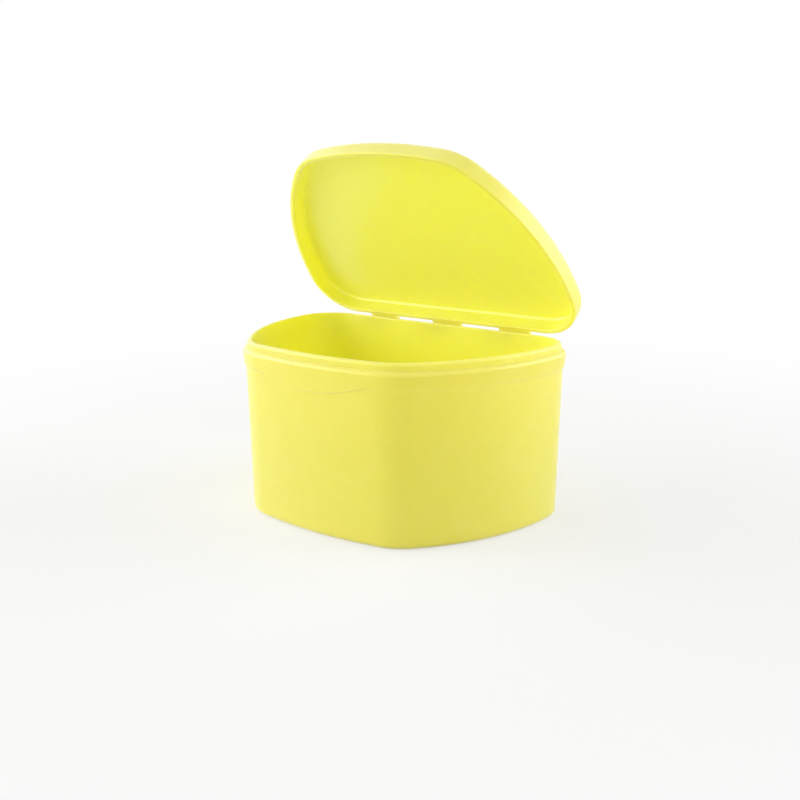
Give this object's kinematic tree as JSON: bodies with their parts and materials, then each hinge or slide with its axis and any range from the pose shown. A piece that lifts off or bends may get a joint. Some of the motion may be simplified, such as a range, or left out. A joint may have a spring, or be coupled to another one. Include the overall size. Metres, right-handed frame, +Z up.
{
  "type": "denture case",
  "caption": "Hinged plastic denture case: a deep D-shaped tub with a lip and collar, and a shallow skirted lid on three living-hinge straps along its straight rear side.",
  "frame": {"origin": "on the underside of the tub, at the middle of the case's outline", "axes": "+Z up through the open top, +Y towards the hinge side, -Y towards the rounded front, +X to the right of someone who faces the hinge from the front"},
  "size_m": [0.096, 0.0687, 0.1041],
  "materials": {
    "tub": "satin-gloss moulded polypropylene, lemon yellow, slightly translucent",
    "lid": "satin-gloss moulded polypropylene, lemon yellow, slightly translucent",
    "hinge_web": "the same polypropylene, thinned so that it flexes"
  },
  "bodies": {
    "tub": {"tub": "tub", "hinge_strap_1": "hinge_web", "hinge_strap_2": "hinge_web", "hinge_strap_3": "hinge_web"},
    "lid": {"lid": "lid"}
  },
  "joints": [
    {"name": "lid_hinge", "type": "hinge", "parent": "tub", "child": "lid", "pos_m": [0, 0.0345, 0.0482], "axis": [-1, 0, 0], "range_deg": [-53.2, 126.8]}
  ]
}
